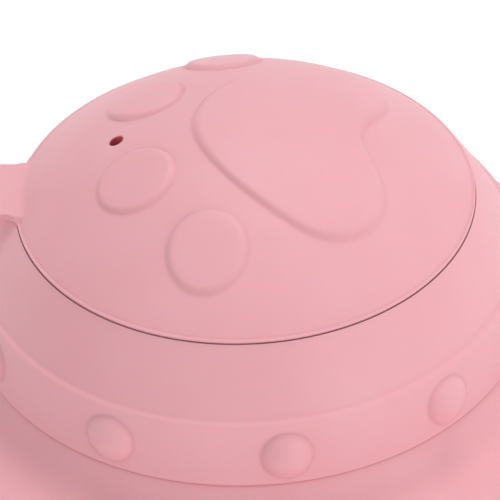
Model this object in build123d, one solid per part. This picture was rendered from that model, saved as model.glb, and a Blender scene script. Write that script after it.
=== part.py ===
from build123d import *

import os
from math import asin, atan2, cos, radians, sin, sqrt, tan

# A toddler's suction bowl under a domed lid with a raised paw, in five pieces.
# Millimetres, +Z up. The origin is the centre of the sealing lip, on the table.
# The lid's pull tab points along -X, and the paw is symmetric about the XZ plane.

# ---------------------------------------------------------------- driving dimensions
# Heights, from the table up.
cavity_height = 3.4        # vacuum space under the suction cup
membrane = 2.4             # thickness of the cup over that space
hem_height = 11.0          # table to the lower edge of the shell
band_height = 15.2         # the studded band, from the hem to the crease above it
shoulder_drop = 13.8       # from the mouth down to that crease
dome_height = 19.7         # rise of the lid above its edge

# Lid, soft silicone.
lid_radius = 50.0
lid_wall = 2.2
lid_edge = 0.6             # upright edge of the lid, above the mouth
lid_edge_round = 0.15
lid_ledge = 0.6            # narrow level ring between the dome and the edge
plug_depth = 5.0           # ring under the lid that plugs the food bowl
plug_wall = 2.0
plug_round = 0.8
seal_bead = 0.5            # how far the sealing bead stands out of the plug
vent_radius = 1.5
vent_reach = 27.3          # from the lid's axis to the steam vent
pad_relief = 0.9           # how far the paw stands above the dome
toe_radius = 8.5
inner_toe = (-22.0, 14.2)  # centres, mirrored about the XZ plane
outer_toe = (-6.1, 33.5)
pad_tip = (-10.5, 0.0)     # half outline of the main pad, from its tip to its notch
pad_side = [(-3.9, 15.5), (6.9, 25.2), (20.0, 29.6), (28.1, 24.3), (30.6, 14.6)]
pad_notch = (25.6, 0.0)
tab_root = 22.0            # width where the pull tab leaves the lid
tab_width = 18.0
tab_reach = 14.5           # beyond the lid's edge
tab_thickness = 1.8
tab_lift = 0.2             # underside of the tab above the mouth

# Food bowl, rigid polypropylene.
bowl_wall = 1.6
bowl_floor = 1.8
bowl_straight = 8.0        # upright part of the wall, where the lid plugs in
bowl_taper = 3.2           # the wall leans in by this much below it
bowl_corner = 16.0         # inside corner between wall and floor
rim_thickness = 2.0
rim_inset = 0.4            # the rim stops this far inside the lid's edge
rim_seat = 1.5             # width of the shell's ledge that carries the rim
foot_radius = 30.0
foot_width = 2.0
foot_height = 1.2

# Outer shell, soft silicone.
seam_gap = 0.1             # open line between the lid and the shell
lip_round = 0.12
seat_depth = 3.5           # thickness of the ledge under the bowl's rim
shoulder_run = 8.5
shoulder_slope = 53.8      # degrees below level, where the shoulder leaves the mouth
crease_round = 1.0
band_proud = 1.3           # the band stands out of the shoulder
ledge_drop = 0.5           # slope of the ledge on top of the band
band_round = 1.0
band_flare = 2.1           # the band widens by this much down to the hem
shell_wall = 2.6
hem_lip = 2.6              # part of the hem below the snap groove
hem_round = 0.3
stud_count = 10
stud_radius = 5.45
stud_height = 2.5
stud_root = 1.2            # how deep a stud's cylinder reaches into the band
stud_drop = 8.1            # stud centre below the crease
first_stud = -80.2         # degrees about Z

# Base core, rigid polypropylene.
core_floor = 2.2
core_wall = 2.2
snap_reach = 1.5           # the core's flange reaches this far into the shell
snap_thickness = 1.9
locating_wall = 1.6        # ring round the food bowl's foot
rib_count = 8
rib_width = 1.6
rib_start = 36.0

# Suction cup, soft silicone.
hem_overhang = 0.7         # the shell's hem stands out past the cup's collar
collar_bead = 0.9          # radius of the bead that holds the cup on the core
bead_sunk = 0.2            # the bead's centre lies this far inside the collar
flare_angle = 60.0         # degrees, slope of the collar's outside
flare_round = 9.0
flange_reach = 16.0        # from the hem to the edge of the flange
flange_edge = 2.2          # height of the flange at its edge
flange_rise = 2.5          # its top climbs by this much towards the collar
flange_round = 0.8
lip_inset = 1.0            # flange edge to the sealing lip
lip_width = 5.0
cavity_slope = 8.0         # the lip's inside climbs to the cavity over this run
release_angle = 315.0      # degrees about Z
release_root = 20.0
release_width = 14.0
release_reach = 12.0
release_thickness = 1.6
release_lift = 0.6         # underside of the release tab above the table

# Clearances.
lift_gap = 0.3             # between pieces that lift apart
seal_gap = 0.1             # between the sealing bead and the bowl
snap_gap = 0.1             # between pieces that stay snapped together

# ---------------------------------------------------------------- worked out from them
core_bottom = cavity_height + membrane
core_top = core_bottom + core_floor
crease_height = hem_height + band_height
mouth_height = crease_height + shoulder_drop

mouth_radius = lid_radius + seam_gap
crease_radius = mouth_radius + shoulder_run
band_radius = crease_radius + band_proud
hem_radius = band_radius + band_flare
shell_bore = band_radius - shell_wall

rim_radius = lid_radius - rim_inset
seat_radius = rim_radius - rim_seat
bowl_radius = seat_radius - lift_gap - bowl_wall
plug_radius = bowl_radius - seal_gap - seal_bead

core_radius = shell_bore - snap_gap
snap_radius = shell_bore + snap_reach
snap_height = hem_height + hem_lip
collar_bore = core_radius + snap_gap
collar_radius = hem_radius - hem_overhang
bead_height = (core_bottom + hem_height) / 2
flange_radius = hem_radius + flange_reach

dome_rim = lid_radius - lid_ledge
dome_radius = (dome_rim**2 + dome_height**2) / (2 * dome_height)
dome_apex = mouth_height + lid_edge + dome_height
dome_centre = dome_apex - dome_radius
edge_slope = asin(dome_rim / dome_radius)

foot_bottom = core_top + lift_gap
bowl_bottom = foot_bottom + foot_height
well_height = bowl_bottom + bowl_floor
rib_top = bowl_bottom - lift_gap


# ---------------------------------------------------------------- helpers
def ring_profile(edges, corners=()):
    """Face from a closed outline of (radius, height), rounded at the given corners."""
    face = make_face(edges)
    for point, radius in corners:
        corner = face.vertices().sort_by_distance((point[0], point[1], 0))[0]
        face = fillet(corner, radius)
    return face


def turned(edges, corners=()):
    """Solid of revolution about Z from an outline of (radius, height)."""
    return revolve(Plane.XZ * ring_profile(edges, corners), Axis.Z)


def limited(radius, ledge):
    """A rounding no larger than half the ledge it has to fit on."""
    return min(radius, ledge / 2)


def polygon(*points):
    return Polyline(*points, close=True).edges()


def ring(inner, outer, low, high):
    return turned(polygon((inner, low), (outer, low), (outer, high), (inner, high)))


def bead(radius, height, thickness):
    return Pos(0, 0, height) * Torus(radius, thickness)


def dome_at(radius, depth=0.0):
    """Height of the dome at a radius, at a depth below its surface."""
    return dome_centre + sqrt((dome_radius - depth) ** 2 - radius**2)


def tongue(root, width, reach):
    """Tab outline along +X: it narrows to its width and ends in a half circle."""
    half = width / 2
    neck = (root - width) / 2
    straight = reach - half
    side = [(-root / 2, root / 2), (0, root / 2), (neck, half), (straight, half)]
    back = [(x, -y) for x, y in reversed(side)]
    tip = ThreePointArc(side[-1], (reach, 0), back[0])
    return make_face(
        Polyline(*side).edges() + tip.edges() + Polyline(*back, side[0]).edges()
    )


# ---------------------------------------------------------------- lid
def paw_outlines():
    """Main pad and four toes in plan."""
    near = [(x, -y) for x, y in reversed(pad_side)]
    outline = [pad_tip, *pad_side, pad_notch, *near]
    yield make_face(Spline(*outline, periodic=True).edges())
    for x, y in (inner_toe, outer_toe):
        for side in (1, -1):
            yield Pos(x, side * y) * Circle(toe_radius)


def make_lid():
    inner = plug_radius - plug_wall
    low = mouth_height - plug_depth
    edge = (lid_radius, mouth_height + lid_edge)
    dome_foot = (dome_rim, mouth_height + lid_edge)
    half_slope = sin(edge_slope / 2)
    over = (dome_radius * half_slope, dome_at(dome_radius * half_slope))
    inside = (inner, dome_at(inner, lid_wall))
    under_radius = dome_radius - lid_wall
    crown = under_radius * sin(asin(inner / under_radius) / 2)
    under = (crown, dome_at(crown, lid_wall))
    outside = ThreePointArc((0, dome_apex), over, dome_foot)
    underside = ThreePointArc(inside, under, (0, dome_apex - lid_wall))
    lower = Polyline(
        dome_foot,
        edge,
        (lid_radius, mouth_height),
        (plug_radius, mouth_height),
        (plug_radius, low),
        (inner, low),
        inside,
    )
    axis = Line((0, dome_apex - lid_wall), (0, dome_apex))
    outline = outside.edges() + lower.edges() + underside.edges() + axis.edges()
    corners = [
        (edge, limited(lid_edge_round, lid_ledge)),
        ((plug_radius, low), plug_round),
        ((inner, low), plug_round),
    ]
    lid = turned(outline, corners)
    lid += bead(plug_radius, mouth_height - plug_depth / 2, seal_bead)

    centre = Pos(0, 0, dome_centre)
    skin = centre * Sphere(dome_radius + pad_relief)
    skin -= centre * Sphere(dome_radius - lid_wall / 2)
    for outline in paw_outlines():
        lid += Pos(0, 0, mouth_height) * extrude(outline, dome_apex) & skin

    tab = extrude(tongue(tab_root, tab_width, tab_reach), tab_thickness)
    tab = Pos(-lid_radius, 0, mouth_height + tab_lift) * Rot(0, 0, 180) * tab
    tab -= Pos(0, 0, mouth_height) * Cylinder(
        lid_radius - lid_wall, 2 * (tab_lift + tab_thickness)
    )
    lid += tab
    hole = Pos(-vent_reach, 0, dome_at(vent_reach, lid_wall / 2))
    return lid - hole * Cylinder(vent_radius, 4 * lid_wall)


# ---------------------------------------------------------------- food bowl
def basin(radius, floor, corner):
    """Solid that fills a bowl of this radius down to this floor."""
    foot = (radius - bowl_taper, floor)
    outline = polygon(
        (0, floor),
        foot,
        (radius, mouth_height - bowl_straight),
        (radius, mouth_height),
        (0, mouth_height),
    )
    return turned(outline, [(foot, corner)])


def make_food_bowl():
    bowl = basin(bowl_radius + bowl_wall, bowl_bottom, bowl_corner + bowl_wall)
    bowl += ring(bowl_radius, rim_radius, mouth_height - rim_thickness, mouth_height)
    bowl += ring(foot_radius - foot_width, foot_radius, foot_bottom, well_height)
    return bowl - basin(bowl_radius, well_height, bowl_corner)


# ---------------------------------------------------------------- outer shell
def make_stud():
    outline = Polyline((0, stud_height), (0, -stud_root), (stud_radius, -stud_root))
    outline = outline.edges() + Line((stud_radius, -stud_root), (stud_radius, 0)).edges()
    ball = (stud_radius**2 + stud_height**2) / (2 * stud_height)
    half = ball * sin(asin(stud_radius / ball) / 2)
    top = (half, stud_height - ball + sqrt(ball**2 - half**2))
    dome = ThreePointArc((stud_radius, 0), top, (0, stud_height))
    return turned(outline + dome.edges())


def make_outer_shell():
    seat = mouth_height - rim_thickness
    mouth = (mouth_radius, mouth_height)
    crease = (crease_radius, crease_height)
    band_top = crease_height - ledge_drop
    band = (band_radius + band_flare * ledge_drop / band_height, band_top)
    hem = (hem_radius, hem_height)
    slope = radians(shoulder_slope)
    shoulder = TangentArc(mouth, crease, tangent=(cos(slope), -sin(slope)))
    groove = snap_height + snap_thickness + snap_gap
    rest = Polyline(
        crease,
        band,
        hem,
        (shell_bore, hem_height),
        (shell_bore, snap_height),
        (snap_radius, snap_height),
        (snap_radius, groove),
        (shell_bore, groove),
        (shell_bore, crease_height - shell_wall / 2),
        (seat_radius, seat - seat_depth),
        (seat_radius, seat),
        (mouth_radius, seat),
        mouth,
    )
    corners = [
        (mouth, lip_round),
        (crease, min(crease_round, band_proud)),
        (band, min(band_round, band_proud)),
        (hem, hem_round),
    ]
    shell = turned(shoulder.edges() + rest.edges(), corners)
    lean = atan2(band_flare, band_height)
    radius = band_radius + band_flare * stud_drop / band_height
    height = crease_height - stud_drop
    for i in range(stud_count):
        turn = radians(first_stud + 360 / stud_count * i)
        place = Plane(
            origin=(radius * cos(turn), radius * sin(turn), height),
            z_dir=(cos(lean) * cos(turn), cos(lean) * sin(turn), sin(lean)),
        )
        shell += place * make_stud()
    return shell


# ---------------------------------------------------------------- base core
def make_base_core():
    inner = core_radius - core_wall
    top = snap_height + snap_thickness
    core = turned(
        polygon(
            (0, core_bottom),
            (core_radius, core_bottom),
            (core_radius, snap_height),
            (snap_radius - snap_gap, snap_height),
            (snap_radius - snap_gap, top),
            (inner, top),
            (inner, core_top),
            (0, core_top),
        )
    )
    core -= bead(collar_bore + bead_sunk, bead_height, collar_bead + snap_gap)
    locate = foot_radius + lift_gap
    core += ring(locate, locate + locating_wall, core_bottom, rib_top)
    length = inner - rib_start + core_wall / 2
    rib = Box(length, rib_width, rib_top - core_bottom)
    for i in range(rib_count):
        place = Pos(rib_start + length / 2, 0, (core_bottom + rib_top) / 2)
        core += Rot(0, 0, 360 / rib_count * i) * place * rib
    return core


# ---------------------------------------------------------------- suction cup
def make_suction_cup():
    collar = (collar_radius, hem_height)
    edge = (flange_radius, flange_edge)
    # The flare leaves the collar and meets the flange's top where the two slopes cross.
    fall = tan(radians(flare_angle))
    climb = flange_rise / flange_reach
    run = (hem_height - flange_edge - climb * (flange_radius - collar_radius)) / (
        fall - climb
    )
    valley = (collar_radius + run, hem_height - fall * run)
    lip = flange_radius - lip_inset
    cavity = lip - lip_width - cavity_slope
    low_edge = (flange_radius, flange_round)
    outline = polygon(
        (0, core_bottom),
        (collar_bore, core_bottom),
        (collar_bore, hem_height),
        collar,
        valley,
        edge,
        low_edge,
        (lip, 0),
        (lip - lip_width, 0),
        (cavity, cavity_height),
        (0, cavity_height),
    )
    cup = turned(outline, [(valley, flare_round), (edge, flange_round)])
    cup += bead(collar_bore + bead_sunk, bead_height, collar_bead)
    tab = extrude(tongue(release_root, release_width, release_reach), release_thickness)
    tab = Rot(0, 0, release_angle) * Pos(flange_radius, 0, release_lift) * tab
    tab -= Cylinder(lip, 4 * core_bottom)
    return cup + tab


# ---------------------------------------------------------------- write the pieces
pieces = {
    "lid": make_lid(),
    "food_bowl": make_food_bowl(),
    "outer_shell": make_outer_shell(),
    "base_core": make_base_core(),
    "suction_cup": make_suction_cup(),
}
os.makedirs("parts", exist_ok=True)
for name, piece in pieces.items():
    piece.label = name
    export_step(piece, f"parts/{name}.step")
    print(name, round(piece.volume), "mm3")
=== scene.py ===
# %% [markdown]
# # A toddler's suction bowl
# The object is a soft silicone bowl under a domed lid. The lid carries a raised paw, and the
# body stands on a wide suction flange. Almost every surface is round about one axis, so most
# pieces start as a profile that is turned about it, as on a potter's wheel. What breaks the
# roundness is worked into the same rings of points: the paw, the pull tab, the studs and the
# release tab. A silicone moulding has no seams where such features meet the wall, and rings
# that run through them keep the surface in one piece.

import bmesh
import bpy
import numpy as np
from mathutils import Matrix, Vector


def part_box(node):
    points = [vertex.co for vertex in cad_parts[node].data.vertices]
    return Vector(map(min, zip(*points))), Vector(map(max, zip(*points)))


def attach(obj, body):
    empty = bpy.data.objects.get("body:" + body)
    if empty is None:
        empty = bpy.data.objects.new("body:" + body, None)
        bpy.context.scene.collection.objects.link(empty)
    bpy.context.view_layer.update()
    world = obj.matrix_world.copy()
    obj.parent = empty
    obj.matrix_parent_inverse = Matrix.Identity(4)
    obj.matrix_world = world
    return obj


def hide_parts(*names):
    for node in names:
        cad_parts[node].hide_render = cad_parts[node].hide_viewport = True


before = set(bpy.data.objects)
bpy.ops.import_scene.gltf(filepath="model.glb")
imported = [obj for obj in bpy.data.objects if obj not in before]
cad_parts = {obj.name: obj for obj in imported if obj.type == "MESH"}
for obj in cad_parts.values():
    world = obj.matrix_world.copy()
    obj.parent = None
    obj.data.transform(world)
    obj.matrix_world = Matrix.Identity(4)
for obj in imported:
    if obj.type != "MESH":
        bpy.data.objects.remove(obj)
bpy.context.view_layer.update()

# %% [markdown]
# ## Sizes
# All lengths below are millimetres, and one function turns them into Blender's metres at the
# end. The overall places come from the boxes of the CAD nodes, so the looks can't drift away
# from the design. What a box can't tell, such as a rounding, is a named value.

# %% Read the places from the frame
MM = 0.001


def box_mm(node):
    low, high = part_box(node)
    return np.array(low) / MM, np.array(high) / MM


lid_low, lid_high = box_mm("lid")
bowl_low, bowl_high = box_mm("food_bowl")
_, cup_high = box_mm("suction_cup")

pad_relief = 0.9
lid_radius = round(lid_high[1], 1)
tab_reach = -lid_low[0] - lid_radius
dome_apex = lid_high[2] - pad_relief
mouth = bowl_high[2]
plug_low = lid_low[2]
hem = cup_high[2]
flange_radius = round(cup_high[1], 1)
print("lid radius", lid_radius, "flange radius", flange_radius)
print("mouth", round(mouth, 2), "hem", round(hem, 2))

# %% [markdown]
# ## Camera
# A long lens from above and in front, so that circles stay true ellipses. The view is rolled a little
# about its own axis.

# %% Set up the camera
VIEW_TURN = 4.0       # degrees about the upright axis, from looking along +Y
VIEW_DROP = 38.69      # degrees below the horizon
VIEW_ROLL = -2.63      # degrees about the line of sight
VIEW_DISTANCE = 705.0
VIEW_LENS = 233.1
AIM_RIGHT = 1.01       # what the camera aims at, from the middle of the mouth
AIM_UP = -12.05


def add_camera():
    turn = Matrix.Rotation(np.radians(VIEW_TURN), 3, "Z")
    tilt = Matrix.Rotation(np.radians(90 - VIEW_DROP), 3, "X")
    roll = Matrix.Rotation(np.radians(VIEW_ROLL), 3, "Z")
    basis = turn @ tilt @ roll
    aim = basis @ Vector((AIM_RIGHT, AIM_UP, VIEW_DISTANCE)) + Vector((0, 0, mouth))
    data = bpy.data.cameras.new("camera")
    data.lens = VIEW_LENS
    camera = bpy.data.objects.new("camera", data)
    camera.matrix_world = Matrix.LocRotScale(aim * MM, basis, None)
    bpy.context.scene.collection.objects.link(camera)
    bpy.context.scene.camera = camera
    return camera


camera = add_camera()
print("camera at", tuple(round(x, 3) for x in camera.matrix_world.translation))

# %% [markdown]
# ## Rings of points
# A ring is an array of points round the axis. A skin joins ring after ring with quads. It is
# the same idea as lofting, but every point's place is known exactly, so a raised pad or a tab
# can be written as a formula. A ring of one point closes the skin at the axis.

# %% Helpers for paths and skins
def unit(v):
    return v / np.linalg.norm(v)


def eased(count):
    """Shares from 0 to 1, closer together near both ends."""
    return (1 - np.cos(np.pi * np.arange(count + 1) / count)) / 2


def arc(centre, start, end, turn=9.0):
    """Points from start to end round centre, one for each turn of so many degrees."""
    a, b = start - centre, end - centre
    angle = np.arctan2(a[0] * b[1] - a[1] * b[0], a @ b)
    steps = max(2, int(np.ceil(abs(np.degrees(angle)) / turn)))
    turns = angle * np.arange(steps + 1) / steps
    cosine, sine = np.cos(turns), np.sin(turns)
    return centre + np.stack([a[0] * cosine - a[1] * sine, a[0] * sine + a[1] * cosine], 1)


def rounded(corners, spacing=1.6, turn=9.0):
    """Path through corners (x, y, rounding), with arcs at the corners and steps between them."""
    points = [np.array(corner[:2], float) for corner in corners]
    pieces = [points[0][None]]
    for i in range(1, len(points) - 1):
        here, radius = points[i], corners[i][2]
        a, b = unit(points[i - 1] - here), unit(points[i + 1] - here)
        if radius == 0:
            pieces.append(here[None])
            continue
        half = np.arccos(np.clip(a @ b, -1, 1)) / 2
        centre = here + unit(a + b) * radius / np.sin(half)
        reach = radius / np.tan(half)
        pieces.append(arc(centre, here + a * reach, here + b * reach, turn))
    pieces.append(points[-1][None])
    path = [pieces[0][0]]
    for piece in pieces:
        gap = np.linalg.norm(piece[0] - path[-1])
        if gap > 1e-6:
            steps = max(2, int(np.ceil(gap / spacing))) if gap > spacing / 2 else 1
            path += [path[-1] + (piece[0] - path[-1]) * share for share in eased(steps)[1:]]
        path += list(piece[1:])
    return np.array(path)


def skin(name, rings, closed=False):
    """Mesh object from rings in millimetres, all of one count apart from single points."""
    starts = np.cumsum([0] + [len(ring) for ring in rings])
    pairs = list(zip(range(len(rings)), range(1, len(rings))))
    if closed:
        pairs.append((len(rings) - 1, 0))
    faces = []
    for a, b in pairs:
        n = max(len(rings[a]), len(rings[b]))
        i, j = np.arange(n), np.roll(np.arange(n), -1)
        if len(rings[a]) == 1:
            faces += np.stack([0 * i + starts[a], starts[b] + i, starts[b] + j], 1).tolist()
        elif len(rings[b]) == 1:
            faces += np.stack([starts[a] + j, starts[a] + i, 0 * i + starts[b]], 1).tolist()
        else:
            quads = [starts[a] + j, starts[a] + i, starts[b] + i, starts[b] + j]
            faces += np.stack(quads, 1).tolist()
    return mesh_object(name, np.concatenate(rings), faces)


def mesh_object(name, points, faces):
    """Smooth-shaded object from points in millimetres, with its faces turned outwards."""
    mesh = bpy.data.meshes.new(name)
    mesh.from_pydata((points * MM).tolist(), [], faces)
    work = bmesh.new()
    work.from_mesh(mesh)
    bmesh.ops.remove_doubles(work, verts=work.verts, dist=0.002 * MM)
    bmesh.ops.recalc_face_normals(work, faces=work.faces)
    work.to_mesh(mesh)
    work.free()
    mesh.shade_smooth()
    made = bpy.data.objects.new(name, mesh)
    bpy.context.scene.collection.objects.link(made)
    print(name, len(mesh.vertices), "points", len(mesh.polygons), "faces")
    return made


def points_mm(piece):
    """A piece's points in millimetres."""
    points = np.empty(len(piece.data.vertices) * 3)
    piece.data.vertices.foreach_get("co", points)
    return points.reshape(-1, 3) / MM


def mark(piece, name, share):
    """Store one number for each point of a piece, for its material to read."""
    layer = piece.data.attributes.new(name, "FLOAT", "POINT")
    layer.data.foreach_set("value", np.asarray(share, np.float32))
    print(piece.name, name, "on", int((share > 0.1).sum()), "points")


def line_at(distance, width):
    """1 on a line and softly down to 0 beside it."""
    return np.exp(-(distance / width) ** 2)


def ring_at(radius, height, angles):
    """Ring round the axis, or one point where the radius is nothing."""
    if radius < 1e-6:
        return np.array([[0.0, 0.0, height]])
    z = np.full(len(angles), height)
    return np.stack([radius * np.cos(angles), radius * np.sin(angles), z], 1)


def turned(path, angles):
    """Rings from a path of (radius, height)."""
    return [ring_at(radius, height, angles) for radius, height in path]


def with_height(plan, height):
    return np.column_stack([plan, np.broadcast_to(height, len(plan))])


# %% [markdown]
# ## An edge with a tongue
# Both the lid and the flange are discs with one tab. Their edge is an arc, a small hollow
# rounding on each side of the tab, two straight sides and a round end. The tab points along -X
# here, and the points are spaced evenly along the edge, so the tab gets its share of them.

# %% Edge of a disc with a tab
def tongue_edge(radius, half_width, reach, hollow, disc_step, tab_step):
    """Edge of the disc as (plan points, angle of each point's place on the bare disc)."""
    centre_y = half_width + hollow
    centre_x = -np.sqrt((radius + hollow) ** 2 - centre_y**2)
    centre = np.array([centre_x, centre_y])
    root = centre * radius / (radius + hollow)
    tip = np.array([-(radius + reach - half_width), 0.0])
    hollow_arc = arc(centre, root, centre - [0, hollow], 2.0)
    end_arc = arc(tip, tip + [0, half_width], tip + [-half_width, 0], 2.0)
    half = np.concatenate([hollow_arc, end_arc])
    lengths = np.concatenate([[0], np.cumsum(np.linalg.norm(np.diff(half, axis=0), axis=1))])
    count = int(round(lengths[-1] / tab_step))
    even = np.linspace(0, lengths[-1], count + 1)
    half = np.stack([np.interp(even, lengths, half[:, k]) for k in (0, 1)], 1)
    mirrored = half[-2::-1] * [1, -1]
    tab = np.concatenate([half, mirrored])
    start = np.arctan2(root[1], root[0])
    around = 2 * start
    steps = int(round(around * radius / disc_step))
    disc_angles = -start + around * np.arange(1, steps) / steps
    disc = radius * np.stack([np.cos(disc_angles), np.sin(disc_angles)], 1)
    tab_angles = np.linspace(start, 2 * np.pi - start, len(tab))
    return np.concatenate([tab, disc]), np.concatenate([tab_angles, disc_angles])


def inward(edge):
    """Unit vectors from each edge point into the disc, square to the edge."""
    along = np.roll(edge, -1, 0) - np.roll(edge, 1, 0)
    along /= np.linalg.norm(along, axis=1)[:, None]
    return np.stack([-along[:, 1], along[:, 0]], 1)

# %% [markdown]
# ## The paw, as a height over the dome
# The lid is a cap of a sphere, and the paw stands on it by less than a millimetre. A raised
# pad on a silicone moulding has a small hollow at its foot and a round shoulder above it,
# because the mould is milled with a round cutter. Each pad is therefore a distance from its
# outline, turned into a height. The outline of the main pad is a smooth closed curve through
# the few points that give its tip, its sides, its two lobes and the notch between them.

# %% Outline and height of the pads
TOE_RADIUS = 8.5
INNER_TOE = (-22.0, 14.2)
OUTER_TOE = (-6.1, 33.5)
PAD_TIP = (-10.5, 0.0)
PAD_SIDE = [(-3.9, 15.5), (6.9, 25.2), (20.0, 29.6), (28.1, 24.3), (30.6, 14.6)]
PAD_NOTCH = (25.6, 0.0)
SHOULDER_WIDTH = 1.4
FOOT_HOLLOW = 0.08
# The line along a pad's foot is painted shade.
FOOT_LINE = 0.55         # half width of the painted line along a pad's foot


def closed_spline(points, samples):
    """Smooth closed curve through the points, a periodic cubic spline."""
    p = np.array(points, float)
    n = len(p)
    ahead = np.roll(p, -1, 0)
    gap = np.linalg.norm(ahead - p, axis=1)
    slope = (ahead - p) / gap[:, None]
    system = np.zeros((n, n))
    for i in range(n):
        system[i, i - 1] += gap[i - 1]
        system[i, i] += 2 * (gap[i - 1] + gap[i])
        system[i, (i + 1) % n] += gap[i]
    bend = np.linalg.solve(system, 6 * (slope - np.roll(slope, 1, 0)))
    curve = []
    for i in range(n):
        h, a, b = gap[i], bend[i], bend[(i + 1) % n]
        t = np.arange(samples)[:, None] / samples * h
        straight = p[i] + slope[i] * t
        curve.append(straight - t * (h - t) / (6 * h) * (a * (2 * h - t) + b * (h + t)))
    return np.concatenate(curve)


def distance_inside(plan, outline):
    """How far each plan point lies inside a closed outline; negative outside it."""
    along = np.roll(outline, -1, 0) - outline
    away = plan[:, None] - outline
    share = np.clip((away * along).sum(2) / (along**2).sum(1), 0, 1)
    distance = np.linalg.norm(away - share[..., None] * along, axis=2).min(1)
    rise = np.where(along[:, 1] == 0, 1e-9, along[:, 1])
    part = away[:, :, 1] / rise
    crosses = (part >= 0) & (part < 1) & (away[:, :, 0] < part * along[:, 0])
    return np.where(crosses.sum(1) % 2 == 1, distance, -distance)


def shoulder(distance, width, hollow):
    """Share of the full height: hollow at the foot, then round up to level."""
    ramp = (np.sqrt(distance**2 + hollow**2) + distance) / 2
    return 1 - (1 - np.clip(ramp / width, 0, 1)) ** 2


def pad_outline():
    near = [(x, -y) for x, y in reversed(PAD_SIDE)]
    return closed_spline([PAD_TIP, *PAD_SIDE, PAD_NOTCH, *near], 16)


def inside_paw(plan):
    """How far each plan point lies inside the paw's outlines; negative outside them."""
    inside = distance_inside(plan, main_pad)
    for x, y in (INNER_TOE, OUTER_TOE):
        for side in (1, -1):
            toe = TOE_RADIUS - np.linalg.norm(plan - [x, side * y], axis=1)
            inside = np.maximum(inside, toe)
    return inside


def paw_height(plan):
    """Height of the paw above the dome at each plan point."""
    return pad_relief * shoulder(inside_paw(plan), SHOULDER_WIDTH, FOOT_HOLLOW)


main_pad = pad_outline()
size = main_pad.max(0) - main_pad.min(0)
print("main pad", round(size[0], 1), "by", round(size[1], 1), "mm, raised", pad_relief)

# %% [markdown]
# ## The lid
# The rings of the lid start at the steam vent and not at its centre. Each ring is a circle
# whose centre slides from the vent to the middle of the lid as it grows, so the hole is round
# and clean, and no point gathers faces in the middle of the dome. The outermost rings leave
# the circle and follow the edge with the pull tab. The skin then turns over the edge, runs
# back under the rim, down round the plug that seals the bowl, and along the inside of the dome
# to the vent again, so the lid is one closed solid with a real wall.

# %% Build the lid
LID_EDGE = 0.6
LID_WALL = 2.2
LID_LEDGE = 0.6          # narrow level ring between the dome and the edge
LEDGE_BLEND = 0.04
LID_ROUND = 0.15
TAB_ROUND = 0.3
TAB_WIDTH = 18.0
TAB_LIFT = 0.2
TAB_THICKNESS = 1.8
TAB_HOLLOW = 3.0
TAB_BLEND = 0.5          # how softly the tab runs into the dome
VENT_RADIUS = 1.5
VENT_ROUND = 0.35
PIT_SHARE = 0.8          # how fully the vent's wall takes the red of a gap
PLUG_WALL = 2.0
SEAL_BEAD = 0.5
SEAL_GAP = 0.1
BOWL_WALL = 1.6
RIM_INSET = 0.4
RIM_SEAT = 1.5
LIFT_GAP = 0.3

dome_rise = dome_apex - mouth - LID_EDGE
dome_rim = lid_radius - LID_LEDGE
dome_radius = (dome_rim**2 + dome_rise**2) / (2 * dome_rise)
dome_centre = dome_apex - dome_radius
vent = np.array([-27.3, 0.0])
rim_radius = lid_radius - RIM_INSET
seat_radius = rim_radius - RIM_SEAT
bowl_radius = seat_radius - LIFT_GAP - BOWL_WALL
plug_radius = bowl_radius - SEAL_GAP - SEAL_BEAD
tab_top = mouth + TAB_LIFT + TAB_THICKNESS


def dome(plan, depth=0.0):
    """Height of the plain dome, or of a surface at a depth below it."""
    return dome_centre + np.sqrt((dome_radius - depth) ** 2 - (plan**2).sum(1))


def soft(x, width):
    """The larger of x and 0, with a smooth turn."""
    return (np.sqrt(x**2 + width**2) + x) / 2


def higher(a, b, blend):
    """The larger of a and b, with a soft hollow where they meet."""
    mix = np.clip(0.5 + (a - b) / (2 * blend), 0, 1)
    return b + (a - b) * mix + blend * mix * (1 - mix)


def lid_top(plan):
    """Height of the dome, with its ledge, where the pull tab's top runs softly into it."""
    beside = soft(np.abs(plan[:, 1]) - TAB_WIDTH / 2 - 1.0, 0.5)
    behind = soft(plan[:, 0] + lid_radius - 5, 0.5)
    tab = tab_top - 2.5 * beside - 2.5 * behind
    ledge = mouth + LID_EDGE
    return higher(higher(dome(plan), ledge, LEDGE_BLEND), tab, TAB_BLEND)


def lid_skin_point(plan):
    """Points of the outer surface over plan points, the paw raised square to the dome."""
    ground = with_height(plan, lid_top(plan))
    outward = (with_height(plan, dome(plan)) - [0, 0, dome_centre]) / dome_radius
    return ground + outward * paw_height(plan)[:, None]


def between(a, b, shares):
    """Rings between two rings, at each share of the way."""
    return [a + (b - a) * share for share in shares]


def round_over(edge, into, top, radius):
    """Rings over an edge: from the slope of the top, round to upright."""
    reach = 0.2
    slope = np.arctan(np.clip((top(edge + into * reach) - top(edge)) / reach, 0, None))
    radius = radius + 0 * slope
    start = edge + into * (radius * (1 - np.sin(slope)))[:, None]
    height = top(start) - radius * np.cos(slope)
    rings = []
    for share in np.arange(7) / 6:
        lean = slope + (np.pi / 2 - slope) * share
        plan = edge + into * (radius * (1 - np.sin(lean)))[:, None]
        rings.append(with_height(plan, height + radius * np.cos(lean)))
    return rings


def round_under(edge, into, bottom, radius):
    """Rings from the upright wall round to the underside."""
    radius = radius + np.zeros(len(edge))
    rings = []
    for share in np.arange(5) / 4:
        lean = np.pi / 2 * share
        plan = edge + into * (radius * (1 - np.cos(lean)))[:, None]
        rings.append(with_height(plan, bottom + radius * (1 - np.sin(lean))))
    return rings


def smooth_step(x):
    x = np.clip(x, 0, 1)
    return x * x * (3 - 2 * x)


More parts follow.
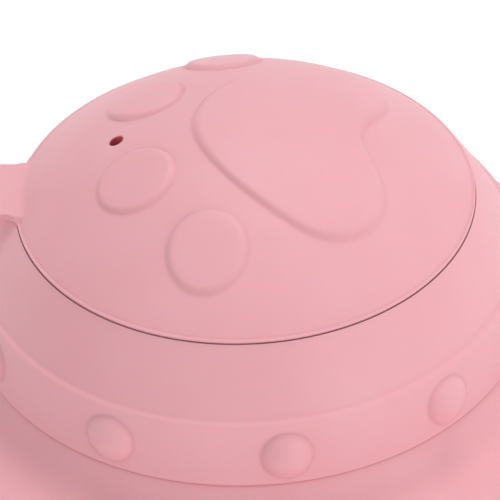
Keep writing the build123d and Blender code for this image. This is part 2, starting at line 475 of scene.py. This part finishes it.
def vent_rings(angles):
    """The wall of the vent from the inside of the dome to the outside, rounded at both ends."""
    direction = np.stack([np.cos(angles), np.sin(angles)], 1)
    rings = []
    for lean in np.radians([90, 60, 30, 0]):
        plan = vent + direction * (VENT_RADIUS + VENT_ROUND * (1 - np.cos(lean)))
        rings.append(with_height(plan, dome(plan, LID_WALL) + VENT_ROUND * (1 - np.sin(lean))))
    low, high = rings[-1], vent + direction * VENT_RADIUS
    high = with_height(high, dome(high) - VENT_ROUND)
    rings += between(low, high, [0.3, 0.7])
    for lean in np.radians([0, 22, 45, 68, 90]):
        plan = vent + direction * (VENT_RADIUS + VENT_ROUND * (1 - np.cos(lean)))
        rings.append(with_height(plan, dome(plan) - VENT_ROUND * (1 - np.sin(lean))))
    return rings


def sliding_circles(inner, outer, shares, angles):
    """Plan circles from one of radius inner round the vent to one of radius outer."""
    direction = np.stack([np.cos(angles), np.sin(angles)], 1)
    for share in shares:
        yield vent * (1 - share) + direction * (inner + (outer - inner) * share)


def plug_path():
    """Underside of the rim, the plug with its sealing bead, and up to the dome's inside."""
    inner = plug_radius - PLUG_WALL
    bead = mouth - (mouth - plug_low) / 2
    under = dome_centre + np.sqrt((dome_radius - LID_WALL) ** 2 - inner**2)
    far = inner - 1.5
    last = dome_centre + np.sqrt((dome_radius - LID_WALL) ** 2 - far**2)
    return rounded([
        (plug_radius + 0.9, mouth, 0),
        (plug_radius, mouth, 0.4),
        (plug_radius, bead + 0.9, 0.3),
        (plug_radius + 1.3 * SEAL_BEAD, bead, 0.35),
        (plug_radius, bead - 0.9, 0.3),
        (plug_radius, plug_low, 0.8),
        (inner, plug_low, 0.8),
        (inner, under, 1.2),
        (far, last, 0),
    ], turn=15.0)


def make_lid():
    edge, angles = tongue_edge(lid_radius, TAB_WIDTH / 2, tab_reach, TAB_HOLLOW, 0.85, 0.6)
    into = inward(edge)
    beyond = smooth_step((np.linalg.norm(edge, axis=1) - lid_radius) / 2)
    over = LID_ROUND + (TAB_ROUND - LID_ROUND) * beyond
    vent_edge = VENT_RADIUS + VENT_ROUND
    circle = lid_radius - 4
    rings = vent_rings(angles)
    shares = np.arange(1, 93) / 92
    rings += [lid_skin_point(plan) for plan in sliding_circles(vent_edge, circle, shares, angles)]
    over_rings = round_over(edge, into, lid_top, over)
    inner_plan, outer_plan = rings[-1][:, :2], over_rings[0][:, :2]
    inner_plan = list(sliding_circles(vent_edge, circle, [1.0], angles))[0]
    for share in 1 - (1 - np.arange(1, 28) / 28) ** 1.7:
        rings.append(lid_skin_point(inner_plan + (outer_plan - inner_plan) * share))
    rings += over_rings
    lift = TAB_LIFT * smooth_step((np.linalg.norm(edge, axis=1) - lid_radius) / 0.8)
    under_rings = round_under(edge, into, mouth + lift, 0.03 + 0.2 * beyond)
    rings += under_rings
    path = plug_path()
    plug_ring = ring_at(path[0][0], path[0][1], angles)
    for plan in between(under_rings[-1][:, :2], plug_ring[:, :2], np.arange(1, 8) / 8):
        lift = TAB_LIFT * smooth_step((np.linalg.norm(plan, axis=1) - lid_radius) / 0.8)
        rings.append(with_height(plan, mouth + lift))
    rings += turned(path, angles)
    shares = 1 - np.arange(1, 22) / 22
    for plan in sliding_circles(vent_edge, path[-1][0], shares, angles):
        rings.append(with_height(plan, dome(plan, LID_WALL)))
    return skin("lid_cover", rings, closed=True)


lid = make_lid()

# %% [markdown]
# ## Outlines that soft light would lose
# A pad less than a millimetre high hardly shades its own foot in light as soft as this, so its
# outline fades on the side towards the lamp. The missing shade is painted instead, and it is no
# property of the rubber: each point of the mesh stores how near it is to the foot of a pad, and the
# material darkens the pink there a little as painted shade. The wall of the vent is marked too and
# gets a deep red pink as painted light, because the light that bounces to and fro in such a hole
# dies out sooner in a render than in real rubber.

# %% Mark the hollows of the lid
def mark_lid(piece):
    points = points_mm(piece)
    plan = points[:, :2]
    outside = points[:, 2] > dome(plan, LID_WALL / 2)
    inside = np.concatenate([inside_paw(part) for part in np.array_split(plan, 80)])
    mark(piece, "foot", line_at(inside, FOOT_LINE) * outside)
    mark(piece, "pit", PIT_SHARE * (np.linalg.norm(plan - vent, axis=1) < VENT_RADIUS + 0.1))


mark_lid(lid)

# %% [markdown]
# ## The outer shell
# The shell is a turned profile: a ledge that carries the bowl's rim, a soft lip, a shoulder
# a little steeper than the edge of the dome, a crease, and a band that stands proud of it. The band
# is not turned. It is ten equal panels, and in each one the rings grow from the top of a stud
# to the panel's straight border. The studs are moulded in one with the band, so the rings pass
# through a small hollow rounding where a stud meets the wall.

# %% Build the shell
SEAM_GAP = 0.06
SHOULDER_RUN = 8.5
SHOULDER_SLOPE = 53.8    # degrees below level, at the mouth
SHOULDER_DROP = 13.8
BAND_HEIGHT = 15.2
BAND_PROUD = 1.3
LEDGE_DROP = 0.5
BAND_FLARE = 2.1
SHELL_WALL = 2.6
RIM_THICKNESS = 2.0
SEAT_DEPTH = 3.5
HEM_LIP = 2.6
SNAP_REACH = 1.5
SNAP_THICKNESS = 1.9
SNAP_GAP = 0.1
STUD_COUNT = 10
STUD_RADIUS = 5.45
STUD_HEIGHT = 2.5
STUD_DROP = 8.1
FIRST_STUD = -80.2
# The line round a stud is painted shade.
STUD_LINE = 0.5          # half width of the painted line round a stud
STUD_LINE_OUT = 0.15     # and how far outside the stud it lies
PANEL_TOP = 1.4          # the panels start this far under the crease
PANEL_BOTTOM = 0.6       # and end this far above the hem
SIDE_STEPS = 14          # faces along a panel's upright border
TOP_STEPS = 42           # faces along its top, and along its bottom

crease = mouth - SHOULDER_DROP
mouth_radius = lid_radius + SEAM_GAP
crease_radius = mouth_radius + SHOULDER_RUN
band_radius = crease_radius + BAND_PROUD
hem_radius = band_radius + BAND_FLARE
shell_bore = band_radius - SHELL_WALL
stud_middle = crease - STUD_DROP
band_lean = np.arctan2(BAND_FLARE, BAND_HEIGHT)


def band_face(height):
    return band_radius + BAND_FLARE * (crease - height) / BAND_HEIGHT


def shoulder_arc():
    """Points from the mouth to the crease, a little steeper all the way down."""
    start = np.array([mouth_radius, mouth])
    end = np.array([crease_radius, crease])
    slope = np.radians(SHOULDER_SLOPE)
    normal = np.array([-np.sin(slope), -np.cos(slope)])
    chord = end - start
    radius = chord @ chord / (2 * chord @ normal)
    return arc(start + normal * radius, start, end, 2.5)


def shell_path():
    """Profile from the foot of the band's panels, round the inside, to their top."""
    seat = mouth - RIM_THICKNESS
    groove = hem + HEM_LIP
    groove_top = groove + SNAP_THICKNESS + SNAP_GAP
    low, high = hem + PANEL_BOTTOM, crease - PANEL_TOP
    middle = [(r, z, 0) for r, z in shoulder_arc()[1:-1]]
    return rounded([
        (band_face(low), low, 0),
        (hem_radius, hem, 0.5),
        (shell_bore, hem, 0.2),
        (shell_bore, groove, 0.15),
        (shell_bore + SNAP_REACH, groove, 0.15),
        (shell_bore + SNAP_REACH, groove_top, 0.15),
        (shell_bore, groove_top, 0.15),
        (shell_bore, crease - SHELL_WALL / 2, 1.5),
        (seat_radius, seat - SEAT_DEPTH, 0.8),
        (seat_radius, seat, 0.2),
        (mouth_radius, seat, 0.2),
        (mouth_radius, mouth, 0.1),
        *middle,
        (crease_radius, crease, 1.0),
        (band_face(crease - LEDGE_DROP), crease - LEDGE_DROP, 1.0),
        (band_face(high), high, 0),
    ], spacing=2.0)


def stud_profile():
    """(distance from the stud's middle, height over the band), with a small hollow at its foot."""
    ball = (STUD_RADIUS**2 + STUD_HEIGHT**2) / (2 * STUD_HEIGHT)
    foot = np.arcsin(STUD_RADIUS / ball)
    lean = foot * np.arange(13) / 13
    cap = np.stack([ball * np.sin(lean), ball * np.cos(lean) - ball + STUD_HEIGHT], 1)
    last, knee, end = cap[-1], np.array([STUD_RADIUS, 0.0]), np.array([STUD_RADIUS + 0.4, 0.0])
    share = np.arange(1, 6)[:, None] / 5
    hollow = last * (1 - share) ** 2 + 2 * knee * share * (1 - share) + end * share**2
    return np.concatenate([cap, hollow])


def panel_border(half_width, low, high):
    """Points round a panel, from its lower right corner up and round."""
    up = np.arange(SIDE_STEPS) / SIDE_STEPS
    across = np.arange(TOP_STEPS) / TOP_STEPS
    right = np.stack([0 * up + half_width, low + (high - low) * up], 1)
    top = np.stack([half_width - 2 * half_width * across, 0 * across + high], 1)
    left = np.stack([0 * up - half_width, high - (high - low) * up], 1)
    bottom = np.stack([-half_width + 2 * half_width * across, 0 * across + low], 1)
    return np.concatenate([right, top, left, bottom])


def on_band(flat, out, turn):
    """Points on the band at flat (along, up) places, standing out by so many millimetres."""
    height = stud_middle + flat[:, 1]
    angle = turn + flat[:, 0] / band_face(stud_middle)
    radius = band_face(height) + out * np.cos(band_lean)
    return np.stack([
        radius * np.cos(angle), radius * np.sin(angle), height + out * np.sin(band_lean)
    ], 1)


def panel_rings(turn):
    """Rings of one panel, from the top of its stud to its border."""
    half_width = np.pi / STUD_COUNT * band_face(stud_middle)
    low = hem + PANEL_BOTTOM - stud_middle
    high = crease - PANEL_TOP - stud_middle
    border = panel_border(half_width, low, high)
    count = len(border)
    start = -np.pi / 4 * SIDE_STEPS * 8 / count / 2
    angles = start + 2 * np.pi * np.arange(count) / count
    direction = np.stack([np.cos(angles), np.sin(angles)], 1)
    rings = []
    for distance, out in stud_profile():
        flat = direction * distance if distance > 0 else np.zeros((1, 2))
        rings.append(on_band(flat, out, turn))
    foot = direction * stud_profile()[-1][0]
    for share in (np.arange(1, 11) / 10) ** 1.3:
        rings.append(on_band(foot + (border - foot) * share, 0, turn))
    return rings


def strip(rings, closed=False):
    """Points and faces of a skin, for joining with others into one mesh."""
    made = skin("strip", rings, closed)
    mesh = made.data
    points = points_mm(made)
    faces = [list(face.vertices) for face in mesh.polygons]
    bpy.data.objects.remove(made)
    bpy.data.meshes.remove(mesh)
    return points, faces


def joined(name, skins):
    """One object from several skins that share their borders."""
    points, faces = [], []
    for part_points, part_faces in skins:
        start = sum(len(p) for p in points)
        points.append(part_points)
        faces += [[start + i for i in face] for face in part_faces]
    return mesh_object(name, np.concatenate(points), faces)


def make_shell():
    around = STUD_COUNT * TOP_STEPS
    first = np.radians(FIRST_STUD) + np.pi / STUD_COUNT
    angles = first + 2 * np.pi * np.arange(around) / around
    skins = [strip(turned(shell_path(), angles))]
    for i in range(STUD_COUNT):
        skins.append(strip(panel_rings(np.radians(FIRST_STUD + 360 / STUD_COUNT * i))))
    return joined("studded_shell", skins)


# Painted shade: a darker line round the foot of each stud, stored per point as 'foot'.
def mark_shell(piece):
    points = points_mm(piece)
    outside = np.linalg.norm(points[:, :2], axis=1) > band_face(points[:, 2]) - 0.5
    foot = np.zeros(len(points))
    for i in range(STUD_COUNT):
        centre = on_band(np.zeros((1, 2)), 0, np.radians(FIRST_STUD + 360 / STUD_COUNT * i))
        distance = np.linalg.norm(points - centre, axis=1) - STUD_RADIUS - STUD_LINE_OUT
        foot = np.maximum(foot, line_at(distance, STUD_LINE))
    mark(piece, "foot", foot * outside)


shell = make_shell()
mark_shell(shell)

# %% [markdown]
# ## The suction cup
# The cup is turned too: a collar under the shell's hem, a flare, a wide flange, the flat
# sealing lip, and a shallow vacuum space under a membrane. Its release tab is a tongue on the
# flange's edge, like the pull tab on the lid. The rings are made with the tongue along -X and
# then turned to where the tab stands.

# %% Build the suction cup
CAVITY_HEIGHT = 3.4
MEMBRANE = 2.4
HEM_OVERHANG = 0.7
FLARE_SLOPE = 60.0
FLARE_ROUND = 9.0
FLANGE_EDGE = 2.2
FLANGE_RISE = 2.5
FLANGE_REACH = flange_radius - hem_radius
LIP_INSET = 1.0
LIP_WIDTH = 5.0
CAVITY_SLOPE = 8.0
RELEASE_TURN = 315.0
RELEASE_WIDTH = 14.0
RELEASE_REACH = 12.0
RELEASE_LIFT = 0.6
RELEASE_HOLLOW = 4.0

membrane_top = CAVITY_HEIGHT + MEMBRANE
collar_radius = hem_radius - HEM_OVERHANG
lip_radius = flange_radius - LIP_INSET


def flange_top(plan):
    """Height of the flange's top, which is level beyond its edge."""
    short = np.clip(flange_radius - np.linalg.norm(plan, axis=1), 0, None)
    return FLANGE_EDGE + FLANGE_RISE * short / FLANGE_REACH


def cup_top_path(circle):
    """Profile from the middle of the membrane, over the collar, to a circle on the flange."""
    fall, climb = np.tan(np.radians(FLARE_SLOPE)), FLANGE_RISE / FLANGE_REACH
    drop = hem - FLANGE_EDGE - climb * (flange_radius - collar_radius)
    run = drop / (fall - climb)
    end = FLANGE_EDGE + climb * (flange_radius - circle)
    return rounded([
        (0, membrane_top, 0),
        (shell_bore, membrane_top, 0.3),
        (shell_bore, hem, 0.2),
        (collar_radius, hem, 0.2),
        (collar_radius + run, hem - fall * run, FLARE_ROUND),
        (circle, end, 0),
    ], spacing=3.0, turn=5.0)


def cup_under_path():
    """Profile of the underside, from just outside the lip to the middle of the membrane."""
    cavity = lip_radius - LIP_WIDTH - CAVITY_SLOPE
    return rounded([
        (lip_radius + 0.5, RELEASE_LIFT, 0),
        (lip_radius, 0, 0.3),
        (lip_radius - LIP_WIDTH, 0, 0.6),
        (cavity, CAVITY_HEIGHT, 5.0),
        (0, CAVITY_HEIGHT, 0),
    ], spacing=3.0)


def make_cup():
    edge, angles = tongue_edge(
        flange_radius, RELEASE_WIDTH / 2, RELEASE_REACH, RELEASE_HOLLOW, 1.25, 0.8
    )
    into = inward(edge)
    circle = flange_radius - 4
    rings = turned(cup_top_path(circle), angles)
    over_rings = round_over(edge, into, flange_top, 0.8)
    for plan in between(rings[-1][:, :2], over_rings[0][:, :2], np.arange(1, 13) / 13):
        rings.append(with_height(plan, flange_top(plan)))
    rings += over_rings
    under_rings = round_under(edge, into, RELEASE_LIFT, 0.4)
    rings += under_rings
    path = cup_under_path()
    first = ring_at(path[0][0], path[0][1], angles)
    for plan in between(under_rings[-1][:, :2], first[:, :2], np.arange(1, 10) / 10):
        rings.append(with_height(plan, RELEASE_LIFT))
    rings += turned(path, angles)
    cup = skin("suction_base", rings)
    cup.data.transform(Matrix.Rotation(np.radians(RELEASE_TURN - 180), 4, "Z"))
    return cup


cup = make_cup()

# %% [markdown]
# ## The food bowl
# The bowl that holds the food hangs by its rolled rim inside the shell. It is a plain turned
# profile with a large inside corner, because a spoon has to reach everywhere, and a foot ring
# underneath that finds its place in the base.

# %% Build the food bowl
BOWL_FLOOR = 1.8
BOWL_STRAIGHT = 8.0
BOWL_TAPER = 3.2
BOWL_CORNER = 16.0
FOOT_RADIUS = 30.0
FOOT_WIDTH = 2.0
FOOT_HEIGHT = 1.2


def bowl_path():
    """Profile from the middle of the inside, over the rim, to the middle of the underside."""
    outside = bowl_radius + BOWL_WALL
    bottom = bowl_low[2] + FOOT_HEIGHT
    well = bottom + BOWL_FLOOR
    straight = mouth - BOWL_STRAIGHT
    seat = mouth - RIM_THICKNESS
    return rounded([
        (0, well, 0),
        (bowl_radius - BOWL_TAPER, well, BOWL_CORNER),
        (bowl_radius, straight, 8.0),
        (bowl_radius, mouth, 0.8),
        (rim_radius, mouth, 0.6),
        (rim_radius, seat, 0.6),
        (outside, seat, 0.4),
        (outside, straight, 8.0),
        (outside - BOWL_TAPER, bottom, BOWL_CORNER + 0.6),
        (FOOT_RADIUS, bottom, 0),
        (FOOT_RADIUS, bowl_low[2], 0.4),
        (FOOT_RADIUS - FOOT_WIDTH, bowl_low[2], 0.4),
        (FOOT_RADIUS - FOOT_WIDTH, bottom, 0.4),
        (0, bottom, 0),
    ], turn=5.0)


bowl = skin("inner_bowl", turned(bowl_path(), 2 * np.pi * np.arange(288) / 288))

# %% [markdown]
# ## What each piece stands for
# Every new piece rides on the body of the CAD node that it replaces, so it lifts with it. The
# stiff pan inside the base keeps its CAD mesh, because its shape is right as it is.

# %% Tie the pieces to the frame
for piece, node, body, slot in (
    (lid, "lid", "cover", "lid_silicone"),
    (bowl, "food_bowl", "bowl", "bowl_polypropylene"),
    (shell, "outer_shell", "base", "shell_silicone"),
    (cup, "suction_cup", "base", "cup_silicone"),
):
    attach(piece, body)
    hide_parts(node)
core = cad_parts["base_core"]

# %% [markdown]
# ## Colours and nodes
# Colours are written as the hex values that a screen shows. Blender works with light, so one
# function turns them to linear values. Another adds a node with its settings and its links.

# %% Helpers for materials
def linear(hex_colour):
    """Linear colour of an sRGB hex value."""
    parts = [int(hex_colour[i:i + 2], 16) / 255 for i in (1, 3, 5)]
    bright = [c / 12.92 if c <= 0.04045 else ((c + 0.055) / 1.055) ** 2.4 for c in parts]
    return (*bright, 1.0)


def add(tree, kind, inputs=None, **settings):
    """A node with its settings; an input is a value or another node's output."""
    made = tree.nodes.new(kind)
    for name, value in settings.items():
        setattr(made, name, value)
    for socket, value in (inputs or {}).items():
        if isinstance(value, bpy.types.NodeSocket):
            tree.links.new(value, made.inputs[socket])
        else:
            made.inputs[socket].default_value = value
    return made


def new_material(name):
    material = bpy.data.materials.new(name)
    material.use_nodes = True
    tree = material.node_tree
    tree.nodes.clear()
    return material, tree


def per_metre(size_mm):
    """Texture scale for a pattern whose features are so many millimetres across."""
    return 1 / (size_mm * MM)


def shade(tree, place, size_mm, low, high, **noise):
    """Noise of a real size, spread between two values."""
    grain = add(tree, "ShaderNodeTexNoise", {"Vector": place, "Scale": per_metre(size_mm), **noise})
    spread = {"Value": grain.outputs["Fac"], "From Min": 0.3, "From Max": 0.7}
    spread |= {"To Min": low, "To Max": high}
    return add(tree, "ShaderNodeMapRange", spread).outputs["Result"]


# %% [markdown]
# ## Moulded silicone
# Food-grade silicone rubber, compression moulded in a sand-blasted steel mould. The blasting
# gives it a fine matt grain, so highlights are broad and faint. Light enters the rubber and
# comes out about a millimetre away, redder than it went in, which softens every shadow edge.
# The pink is let wander a little over centimetres, so that it doesn't look like paint. A real
# grain of 0.05 mm is too fine to show, so it is drawn at 0.35 mm. Silicone holds a little dust,
# drawn as rare pale specks. Creases get a darker pink, which is painted shade. Closed gaps and
# the wall of the vent get a deep red pink, which is painted light: it stands in for the light that
# rubber passes on between two near walls.

# %% Silicone material
CREASE_REACH = 0.8       # how near another surface has to be to make a crease, millimetres
# CREASE_TINT and FOOT_TINT set painted shade; GAP_TINT sets a painted red light in closed gaps.
CREASE_TINT = 0.42       # painted aids: how much darker an open crease gets,
GAP_TINT = 0.9           # how much redder a closed gap,
FOOT_TINT = 0.11         # and how much darker the foot of a pad or stud


def moulded_silicone(name, colour, deep, roughness):
    material, tree = new_material(name)
    place = add(tree, "ShaderNodeTexCoord").outputs["Object"]
    drift = shade(tree, place, 22.0, 0.0, 1.0, Detail=2.0)
    tint = add(tree, "ShaderNodeMix", {
        "Factor": drift, "A": linear(colour), "B": linear(deep),
    }, data_type="RGBA")
    cells = add(tree, "ShaderNodeTexVoronoi", {"Vector": place, "Scale": per_metre(9.0)})
    near = add(tree, "ShaderNodeMath", {0: cells.outputs["Distance"], 1: 0.016}, operation="LESS_THAN")
    dust = add(tree, "ShaderNodeMix", {
        "Factor": near.outputs[0], "A": tint.outputs["Result"], "B": linear("#d9b9bd"),
    }, data_type="RGBA")
    # Painted shade: creases near another surface, and the feet of pads and studs, get a darker pink.
    open_sky = add(tree, "ShaderNodeAmbientOcclusion", {"Distance": CREASE_REACH * MM}, samples=8)
    shut_in = {"Value": open_sky.outputs["AO"], "From Min": 0.98, "From Max": 0.7, "To Max": CREASE_TINT}
    hollow = add(tree, "ShaderNodeMapRange", shut_in).outputs["Result"]
    foot = add(tree, "ShaderNodeAttribute", attribute_name="foot").outputs["Fac"]
    line = add(tree, "ShaderNodeMath", {0: foot, 1: FOOT_TINT, 2: hollow}, operation="MULTIPLY_ADD")
    painted_shade = add(tree, "ShaderNodeMix", {
        "Factor": line.outputs[0], "A": dust.outputs["Result"], "B": linear("#b8616c"),
    }, data_type="RGBA")
    # Painted light: closed gaps and the wall of the vent get a deep red pink, for the light that rubber
    # passes on between near walls.
    closed_in = {"Value": open_sky.outputs["AO"], "From Min": 0.5, "From Max": 0.1, "To Max": GAP_TINT}
    gap = add(tree, "ShaderNodeMapRange", closed_in).outputs["Result"]
    pit = add(tree, "ShaderNodeAttribute", attribute_name="pit").outputs["Fac"]
    deep_place = add(tree, "ShaderNodeMath", {0: gap, 1: pit}, operation="MAXIMUM")
    red = add(tree, "ShaderNodeMix", {
        "Factor": deep_place.outputs[0], "A": painted_shade.outputs["Result"], "B": linear("#de5362"),
    }, data_type="RGBA")
    rough = shade(tree, place, 5.0, roughness - 0.04, roughness + 0.04, Detail=3.0)
    grain = add(tree, "ShaderNodeTexNoise", {"Vector": place, "Scale": per_metre(0.35), "Detail": 2.0})
    swell = add(tree, "ShaderNodeTexNoise", {"Vector": place, "Scale": per_metre(7.0), "Detail": 1.0})
    wide = add(tree, "ShaderNodeBump", {
        "Height": swell.outputs["Fac"], "Strength": 0.25, "Distance": 0.1 * MM,
    })
    fine = add(tree, "ShaderNodeBump", {
        "Height": grain.outputs["Fac"], "Normal": wide.outputs["Normal"],
        "Strength": 0.3, "Distance": 0.03 * MM,
    })
    shader = add(tree, "ShaderNodeBsdfPrincipled", {
        "Base Color": red.outputs["Result"],
        "Roughness": rough,
        "Normal": fine.outputs["Normal"],
        "IOR": 1.41,
        "Subsurface Weight": 0.4,
        "Subsurface Radius": (1.0, 0.4, 0.35),
        "Subsurface Scale": 0.8 * MM,
        "Sheen Weight": 0.08,
        "Sheen Roughness": 0.5,
    })
    add(tree, "ShaderNodeOutputMaterial", {"Surface": shader.outputs[0]})
    return material


# %% [markdown]
# ## Moulded polypropylene
# The two stiff pieces are injection-moulded polypropylene in the same pink. It is harder and
# a little waxier than the silicone: the highlight is smaller and the light goes in less deep.
# A drawn-polished mould leaves faint waves and a fine sheen, with no grain.

# %% Polypropylene material
def moulded_polypropylene(name, colour, deep):
    material, tree = new_material(name)
    place = add(tree, "ShaderNodeTexCoord").outputs["Object"]
    drift = shade(tree, place, 30.0, 0.0, 1.0, Detail=2.0)
    tint = add(tree, "ShaderNodeMix", {
        "Factor": drift, "A": linear(colour), "B": linear(deep),
    }, data_type="RGBA")
    rough = shade(tree, place, 8.0, 0.32, 0.42, Detail=4.0)
    waves = add(tree, "ShaderNodeTexNoise", {"Vector": place, "Scale": per_metre(6.0), "Detail": 2.0})
    bump = add(tree, "ShaderNodeBump", {
        "Height": waves.outputs["Fac"], "Strength": 0.3, "Distance": 0.05 * MM,
    })
    shader = add(tree, "ShaderNodeBsdfPrincipled", {
        "Base Color": tint.outputs["Result"],
        "Roughness": rough,
        "Normal": bump.outputs["Normal"],
        "IOR": 1.49,
        "Subsurface Weight": 0.3,
        "Subsurface Radius": (1.0, 0.4, 0.35),
        "Subsurface Scale": 1.0 * MM,
    })
    add(tree, "ShaderNodeOutputMaterial", {"Surface": shader.outputs[0]})
    return material


# %% Give the pieces their materials
silicone = moulded_silicone("moulded silicone, pink", "#efb1b9", "#edacb4", 0.55)
polypropylene = moulded_polypropylene("moulded polypropylene, pink", "#f0b9be", "#edb2b8")
for piece, material in ((lid, silicone), (shell, silicone), (cup, silicone), (bowl, polypropylene)):
    piece.data.materials.append(material)
core.data.materials.clear()
core.data.materials.append(polypropylene)

# %% [markdown]
# ## Floor and light
# A pale floor, a white room and two large soft lamps, as in a small studio. The white room
# fills the shadows. A low lamp at the front right lights the shoulder and the studs, and a
# high one behind the bowl lights the top of the dome. Neither lamp shows in a picture.

# %% Floor, room and lamps
def make_floor():
    half = 4.0
    points = np.array([(-half, -half, 0), (half, -half, 0), (half, half, 0), (-half, half, 0)]) / MM
    floor = mesh_object("floor", points, [[0, 1, 2, 3]])
    material, tree = new_material("matt white paper sweep")
    place = add(tree, "ShaderNodeTexCoord").outputs["Object"]
    tone = shade(tree, place, 60.0, 0.0, 1.0, Detail=2.0)
    white = add(tree, "ShaderNodeMix", {
        "Factor": tone, "A": linear("#fbfbfb"), "B": linear("#f8f8f8"),
    }, data_type="RGBA")
    shader = add(tree, "ShaderNodeBsdfPrincipled", {
        "Base Color": white.outputs["Result"], "Roughness": 0.9, "Specular IOR Level": 0.2,
        "Emission Color": (1, 1, 1, 1), "Emission Strength": 0.12,
    })
    add(tree, "ShaderNodeOutputMaterial", {"Surface": shader.outputs[0]})
    floor.data.materials.append(material)
    return floor


def add_lamp(name, azimuth, elevation, distance, size, power):
    """Square soft lamp that faces the bowl; azimuth 0 is over +X, 90 over +Y."""
    turn, rise = np.radians(azimuth), np.radians(elevation)
    direction = Vector((np.cos(turn) * np.cos(rise), np.sin(turn) * np.cos(rise), np.sin(rise)))
    data = bpy.data.lights.new(name, "AREA")
    data.size = size
    data.energy = power
    lamp = bpy.data.objects.new(name, data)
    lamp.visible_camera = False
    lamp.location = direction * distance
    lamp.rotation_mode = "QUATERNION"
    lamp.rotation_quaternion = direction.to_track_quat("Z", "Y")
    bpy.context.scene.collection.objects.link(lamp)
    return lamp


def make_room(strength):
    world = bpy.data.worlds.new("white room")
    world.use_nodes = True
    tree = world.node_tree
    tree.nodes.clear()
    glow = add(tree, "ShaderNodeBackground", {"Color": (1, 1, 1, 1), "Strength": strength})
    add(tree, "ShaderNodeOutputWorld", {"Surface": glow.outputs[0]})
    bpy.context.scene.world = world


floor = make_floor()
make_room(0.61)
add_lamp("front softbox", 315.0, 12.0, 1.2, 0.5, 3.1)
add_lamp("top softbox", 72.0, 70.0, 1.2, 0.5, 5.3)
bpy.context.scene.view_settings.view_transform = "Standard"
